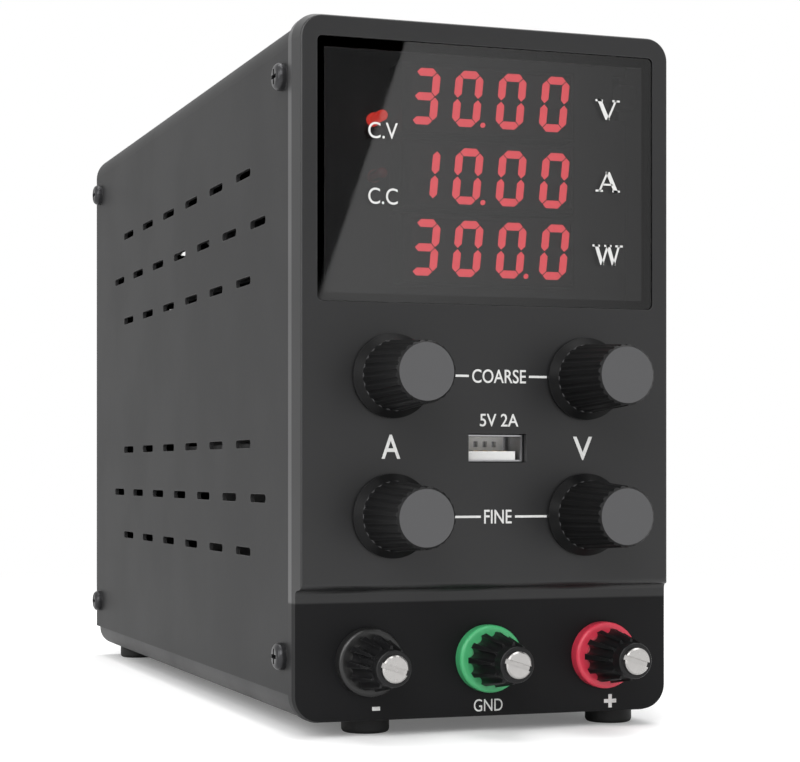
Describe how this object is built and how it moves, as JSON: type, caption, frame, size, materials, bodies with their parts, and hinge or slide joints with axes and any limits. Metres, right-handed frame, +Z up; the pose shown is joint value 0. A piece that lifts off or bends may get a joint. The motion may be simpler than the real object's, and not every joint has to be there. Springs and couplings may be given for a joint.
{
  "type": "bench power supply",
  "caption": "Upright bench power supply with a display window, coarse and fine knobs, a USB socket and binding posts in a folded vented case.",
  "frame": {"origin": "middle of the footprint on the surface that the feet stand on", "axes": "+X to the right of the front, +Y from the front to the rear, +Z up"},
  "size_m": [0.0918, 0.242, 0.1554],
  "materials": {
    "bezel": "moulded black plastic with a fine texture",
    "window": "smoked acrylic",
    "case_paint": "black powder coat",
    "chassis_paint": "black powder coat",
    "black_screw": "black oxide steel",
    "rubber": "moulded rubber",
    "knob": "matte moulded plastic",
    "steel": "turned steel",
    "nickel": "nickel plate",
    "board": "glass-fibre circuit board",
    "display_board": "black glass-fibre circuit board",
    "heatsink": "black anodised aluminium",
    "digits": "black display block",
    "lamp": "tinted lens",
    "white_plastic": "white moulded plastic",
    "green_plastic": "green moulded plastic",
    "red_plastic": "red moulded plastic",
    "black_plastic": "black moulded plastic",
    "ferrite": "ferrite",
    "winding_tape": "yellow tape over copper",
    "can_sleeve": "printed sleeve, left plain",
    "copper": "enamelled copper",
    "fuse_glass": "glass tube"
  },
  "bodies": {
    "root": {"front_bezel": "bezel", "display_window": "window", "top_cover": "case_paint", "bottom_chassis": "chassis_paint", "rear_panel": "chassis_paint", "cover_screws": "black_screw", "feet": "rubber", "foot_screws": "steel", "front_board": "display_board", "front_board_screws": "steel", "digit_modules": "digits", "mode_lamps": "lamp", "potentiometers": "steel", "potentiometer_nuts": "nickel", "usb_shell": "nickel", "usb_tongue": "white_plastic", "post_studs": "nickel", "post_bushes": "black_plastic", "solder_lugs": "nickel", "post_nuts": "nickel", "fan_frame": "black_plastic", "fan_guard": "nickel", "fan_screws": "nickel", "fan_nuts": "nickel", "mains_inlet": "black_plastic", "inlet_blades": "nickel", "switch_body": "black_plastic", "switch_tails": "nickel", "selector_body": "black_plastic", "rear_screws": "black_screw", "power_board": "board", "standoffs": "nickel", "power_board_screws": "steel", "heatsinks": "heatsink", "power_devices": "black_plastic", "transformer_core": "ferrite", "transformer_winding": "winding_tape", "capacitors": "can_sleeve", "output_choke": "copper", "mains_fuse": "fuse_glass", "negative_post_flange": "black_plastic", "ground_post_flange": "green_plastic", "positive_post_flange": "red_plastic"},
    "current_coarse_control": {"current_coarse_knob": "knob", "current_coarse_shaft": "steel"},
    "current_fine_control": {"current_fine_knob": "knob", "current_fine_shaft": "steel"},
    "voltage_coarse_control": {"voltage_coarse_knob": "knob", "voltage_coarse_shaft": "steel"},
    "voltage_fine_control": {"voltage_fine_knob": "knob", "voltage_fine_shaft": "steel"},
    "negative_clamp": {"negative_clamp_washer": "nickel"},
    "negative_cap": {"negative_post_cap": "black_plastic"},
    "ground_clamp": {"ground_clamp_washer": "nickel"},
    "ground_cap": {"ground_post_cap": "black_plastic"},
    "positive_clamp": {"positive_clamp_washer": "nickel"},
    "positive_cap": {"positive_post_cap": "black_plastic"},
    "fan": {"fan_rotor": "black_plastic"},
    "rocker": {"switch_rocker": "black_plastic"},
    "selector": {"selector_tab": "red_plastic"}
  },
  "joints": [
    {"name": "current_coarse_turn", "type": "hinge", "parent": "root", "child": "current_coarse_control", "pos_m": [-0.0227, -0.09945, 0.0778], "axis": [0, 1, 0], "range_deg": [-150, 150]},
    {"name": "current_fine_turn", "type": "hinge", "parent": "root", "child": "current_fine_control", "pos_m": [-0.0227, -0.09945, 0.0477], "axis": [0, 1, 0], "range_deg": [-150, 150]},
    {"name": "voltage_coarse_turn", "type": "hinge", "parent": "root", "child": "voltage_coarse_control", "pos_m": [0.0227, -0.09945, 0.0778], "axis": [0, 1, 0], "range_deg": [-150, 150]},
    {"name": "voltage_fine_turn", "type": "hinge", "parent": "root", "child": "voltage_fine_control", "pos_m": [0.0227, -0.09945, 0.0477], "axis": [0, 1, 0], "range_deg": [-150, 150]},
    {"name": "negative_clamp_slide", "type": "slide", "parent": "root", "child": "negative_clamp", "axis": [0, -1, 0], "range_m": [0, 0.004]},
    {"name": "negative_cap_turn", "type": "hinge", "parent": "negative_clamp", "child": "negative_cap", "pos_m": [-0.0273, -0.09695, 0.0163], "axis": [0, -1, 0], "range_deg": [0, 1801]},
    {"name": "ground_clamp_slide", "type": "slide", "parent": "root", "child": "ground_clamp", "axis": [0, -1, 0], "range_m": [0, 0.004]},
    {"name": "ground_cap_turn", "type": "hinge", "parent": "ground_clamp", "child": "ground_cap", "pos_m": [0.0004, -0.09695, 0.0163], "axis": [0, -1, 0], "range_deg": [0, 1801]},
    {"name": "positive_clamp_slide", "type": "slide", "parent": "root", "child": "positive_clamp", "axis": [0, -1, 0], "range_m": [0, 0.004]},
    {"name": "positive_cap_turn", "type": "hinge", "parent": "positive_clamp", "child": "positive_cap", "pos_m": [0.0281, -0.09695, 0.0163], "axis": [0, -1, 0], "range_deg": [0, 1801]},
    {"name": "fan_spin", "type": "hinge", "parent": "root", "child": "fan", "pos_m": [0, 0.11505, 0.1154], "axis": [0, 1, 0], "continuous": true},
    {"name": "rocker_tilt", "type": "hinge", "parent": "root", "child": "rocker", "pos_m": [0.026, 0.11505, 0.0364], "axis": [-1, 0, 0], "range_deg": [0, 22]},
    {"name": "selector_slide", "type": "slide", "parent": "root", "child": "selector", "axis": [0, 0, 1], "range_m": [0, 0.0046]}
  ],
  "couplings": [
    {"joint": "negative_cap_turn", "follows": "negative_clamp_slide", "rad_per_m": 7854},
    {"joint": "ground_cap_turn", "follows": "ground_clamp_slide", "rad_per_m": 7854},
    {"joint": "positive_cap_turn", "follows": "positive_clamp_slide", "rad_per_m": 7854}
  ]
}
